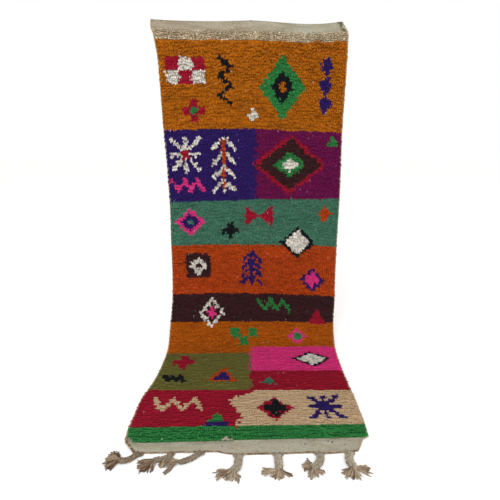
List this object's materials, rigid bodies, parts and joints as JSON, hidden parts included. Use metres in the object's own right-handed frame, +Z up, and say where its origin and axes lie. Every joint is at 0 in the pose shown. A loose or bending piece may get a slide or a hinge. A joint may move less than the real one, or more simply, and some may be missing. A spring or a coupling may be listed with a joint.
{
  "type": "azilal runner rug",
  "caption": "Long hand-knotted wool pile runner, hung by its top edge and laid out onto the floor, with plaited and frayed warp ends along its lower hem.",
  "frame": {"origin": "middle of the cloth's top edge, on its back, where the middle pin would hold it", "axes": "+Z up along the hanging cloth, -Y out of the pile towards the room and along the laid-out end, +X to the right of someone facing the pile"},
  "size_m": [1.0452, 1.0638, 1.695],
  "materials": {
    "wool_pile": "matt dyed wool pile in broad bands of many colours",
    "warp_yarn": "matt undyed wool and cotton yarn"
  },
  "bodies": {
    "root": {"rug": "wool_pile", "plait_1": "warp_yarn", "plait_2": "warp_yarn", "plait_3": "warp_yarn", "plait_4": "warp_yarn", "plait_5": "warp_yarn", "plait_6": "warp_yarn", "plait_7": "warp_yarn"}
  },
  "joints": []
}
